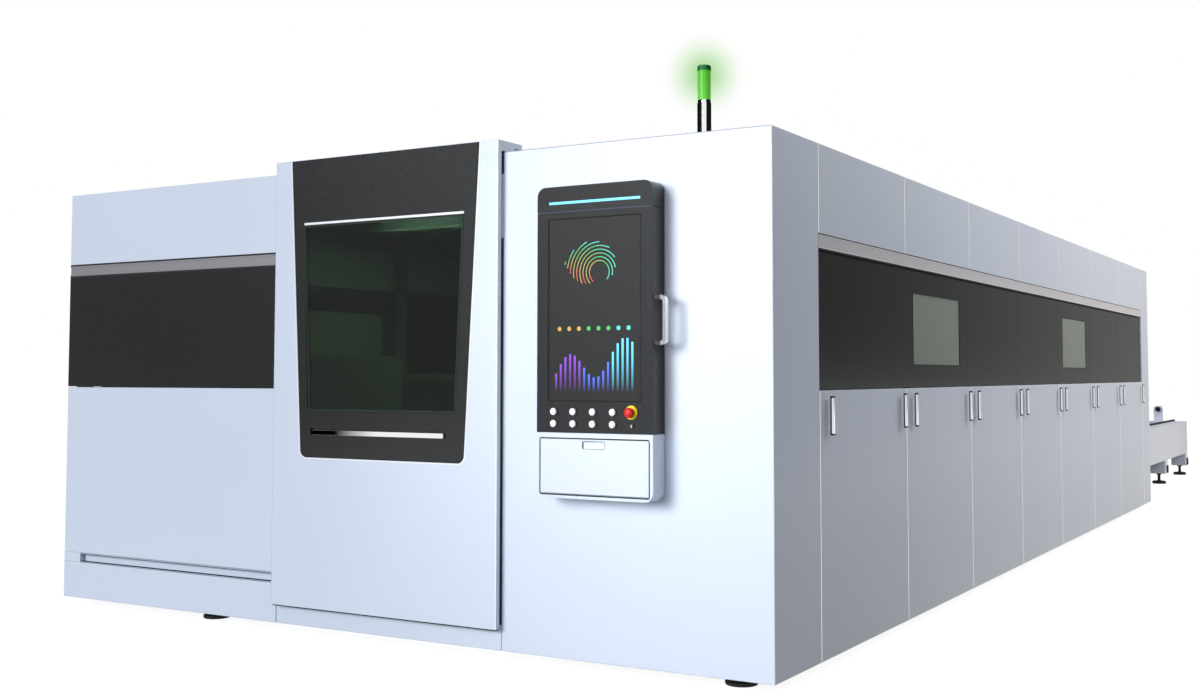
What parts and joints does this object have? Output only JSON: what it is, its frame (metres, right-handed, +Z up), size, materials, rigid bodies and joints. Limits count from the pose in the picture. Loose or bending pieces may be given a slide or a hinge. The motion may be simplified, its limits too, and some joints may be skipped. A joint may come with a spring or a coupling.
{
  "type": "laser cutting machine",
  "caption": "Enclosed sheet-metal laser cutting machine with a sliding door, a swing-out console, a gantry with a cutting head and a rear exchange table with slatted pallets.",
  "frame": {"origin": "on the floor under the middle of the overall length and width", "axes": "+X to the right seen from the operator at the front, +Y from the front to the exchange table at the rear, +Z up"},
  "size_m": [4.1, 12.925, 2.427],
  "materials": {
    "white_paint": "semi-gloss powder coat",
    "dark_paint": "satin powder coat",
    "frame_steel": "grey structure paint",
    "bare_steel": "ground",
    "slat_steel": "mill scale",
    "alloy": "satin anodised",
    "bright_metal": "polished",
    "rail_black": "black oxide",
    "black_rubber": "matt",
    "black_plastic": "satin",
    "green_lens": "clear",
    "safety_glass": "tinted laser-safety glazing",
    "screen_glass": "anti-glare",
    "light_lens": "diffusing",
    "white_plastic": "fine texture",
    "key_plastic": "fine texture",
    "stop_red": "moulded",
    "stop_yellow": "moulded"
  },
  "bodies": {
    "machine": {"machine_bed": "frame_steel", "enclosure_frame": "frame_steel", "levelling_feet": "black_rubber", "front_panels": "white_paint", "front_plinths": "white_paint", "side_columns": "white_paint", "upper_panels": "white_paint", "band_panels": "dark_paint", "access_panels": "white_paint", "access_handles": "bright_metal", "trim_strips": "alloy", "side_windows": "safety_glass", "roof_panels": "white_paint", "rear_wall": "white_paint", "duct_collar": "alloy", "tower_base": "black_plastic", "tower_lens": "green_lens", "door_guide_track": "bare_steel", "door_rail": "bare_steel", "console_hinges": "bare_steel", "power_cabinets": "frame_steel", "gantry_tracks": "bare_steel", "pallet_rails": "rail_black", "table_frame": "white_paint", "stop_buffers": "black_rubber", "scrap_trays": "slat_steel"},
    "door": {"door_leaf": "white_paint", "door_fascia": "dark_paint", "door_window": "safety_glass", "door_handle": "bright_metal", "door_runners": "bare_steel"},
    "console": {"console_housing": "dark_paint", "console_cap": "dark_paint", "light_strip": "light_lens", "screen": "screen_glass", "keyboard_case": "white_plastic", "console_handle": "bright_metal", "estop_collar": "stop_yellow"},
    "flap": {"keyboard_flap": "white_plastic", "keyboard": "key_plastic"},
    "estop": {"estop_button": "stop_red"},
    "key": {"key_switch": "bright_metal"},
    "button_1": {"push_button_1": "white_plastic"},
    "button_2": {"push_button_2": "white_plastic"},
    "button_3": {"push_button_3": "white_plastic"},
    "button_4": {"push_button_4": "white_plastic"},
    "button_5": {"push_button_5": "white_plastic"},
    "button_6": {"push_button_6": "white_plastic"},
    "button_7": {"push_button_7": "white_plastic"},
    "button_8": {"push_button_8": "white_plastic"},
    "gantry": {"gantry_beam": "frame_steel"},
    "saddle": {"carriage": "alloy"},
    "head": {"cutting_head": "alloy"},
    "upper_table": {"upper_pallet": "slat_steel"},
    "lower_table": {"lower_pallet": "slat_steel"},
    "upper_front_wheels": {"upper_front_axle": "bare_steel"},
    "upper_rear_wheels": {"upper_rear_axle": "bare_steel"},
    "lower_front_wheels": {"lower_front_axle": "bare_steel"},
    "lower_rear_wheels": {"lower_rear_axle": "bare_steel"},
    "shutter": {"rear_shutter": "alloy"}
  },
  "joints": [
    {"name": "door_slide", "type": "slide", "parent": "machine", "child": "door", "axis": [-1, 0, 0], "range_m": [0, 1.25]},
    {"name": "console_swing", "type": "hinge", "parent": "machine", "child": "console", "pos_m": [1.023, -6.3455, 1.4075], "axis": [0, 0, -1], "range_deg": [0, 95]},
    {"name": "flap_drop", "type": "hinge", "parent": "console", "child": "flap", "pos_m": [1.287, -6.4225, 0.7245], "axis": [1, 0, 0], "range_deg": [0, 95]},
    {"name": "estop_press", "type": "slide", "parent": "console", "child": "estop", "axis": [0, 1, 0], "range_m": [0, 0.005], "stiffness_N_per_m": 2000},
    {"name": "key_turn", "type": "hinge", "parent": "console", "child": "key", "pos_m": [1.464, -6.4285, 0.994], "axis": [0, -1, 0], "range_deg": [0, 90]},
    {"name": "button_1_press", "type": "slide", "parent": "console", "child": "button_1", "axis": [0, 1, 0], "range_m": [0, 0.003], "stiffness_N_per_m": 800},
    {"name": "button_2_press", "type": "slide", "parent": "console", "child": "button_2", "axis": [0, 1, 0], "range_m": [0, 0.003], "stiffness_N_per_m": 800},
    {"name": "button_3_press", "type": "slide", "parent": "console", "child": "button_3", "axis": [0, 1, 0], "range_m": [0, 0.003], "stiffness_N_per_m": 800},
    {"name": "button_4_press", "type": "slide", "parent": "console", "child": "button_4", "axis": [0, 1, 0], "range_m": [0, 0.003], "stiffness_N_per_m": 800},
    {"name": "button_5_press", "type": "slide", "parent": "console", "child": "button_5", "axis": [0, 1, 0], "range_m": [0, 0.003], "stiffness_N_per_m": 800},
    {"name": "button_6_press", "type": "slide", "parent": "console", "child": "button_6", "axis": [0, 1, 0], "range_m": [0, 0.003], "stiffness_N_per_m": 800},
    {"name": "button_7_press", "type": "slide", "parent": "console", "child": "button_7", "axis": [0, 1, 0], "range_m": [0, 0.003], "stiffness_N_per_m": 800},
    {"name": "button_8_press", "type": "slide", "parent": "console", "child": "button_8", "axis": [0, 1, 0], "range_m": [0, 0.003], "stiffness_N_per_m": 800},
    {"name": "gantry_travel", "type": "slide", "parent": "machine", "child": "gantry", "axis": [0, 1, 0], "range_m": [0, 4.1]},
    {"name": "carriage_travel", "type": "slide", "parent": "gantry", "child": "saddle", "axis": [1, 0, 0], "range_m": [-1.35, 1.35]},
    {"name": "head_travel", "type": "slide", "parent": "saddle", "child": "head", "axis": [0, 0, -1], "range_m": [0, 0.1]},
    {"name": "upper_table_travel", "type": "slide", "parent": "machine", "child": "upper_table", "axis": [0, 1, 0], "range_m": [0, 6.83]},
    {"name": "lower_table_travel", "type": "slide", "parent": "machine", "child": "lower_table", "axis": [0, 1, 0], "range_m": [-6.83, 0]},
    {"name": "upper_front_roll", "type": "hinge", "parent": "upper_table", "child": "upper_front_wheels", "pos_m": [0, -4.2195, 0.6974], "axis": [-1, 0, 0], "range_deg": [0, 9800]},
    {"name": "upper_rear_roll", "type": "hinge", "parent": "upper_table", "child": "upper_rear_wheels", "pos_m": [0, -0.9595, 0.6974], "axis": [-1, 0, 0], "range_deg": [0, 9800]},
    {"name": "lower_front_roll", "type": "hinge", "parent": "lower_table", "child": "lower_front_wheels", "pos_m": [0, 2.6105, 0.4124], "axis": [-1, 0, 0], "range_deg": [-9800, 0]},
    {"name": "lower_rear_roll", "type": "hinge", "parent": "lower_table", "child": "lower_rear_wheels", "pos_m": [0, 5.8705, 0.4124], "axis": [-1, 0, 0], "range_deg": [-9800, 0]},
    {"name": "shutter_drop", "type": "slide", "parent": "machine", "child": "shutter", "axis": [0, 0, -1], "range_m": [0, 0.36]}
  ],
  "couplings": [
    {"joint": "lower_table_travel", "follows": "upper_table_travel", "ratio": -1},
    {"joint": "upper_front_roll", "follows": "upper_table_travel", "rad_per_m": 25},
    {"joint": "upper_rear_roll", "follows": "upper_table_travel", "rad_per_m": 25},
    {"joint": "lower_front_roll", "follows": "upper_table_travel", "rad_per_m": -25},
    {"joint": "lower_rear_roll", "follows": "upper_table_travel", "rad_per_m": -25}
  ]
}
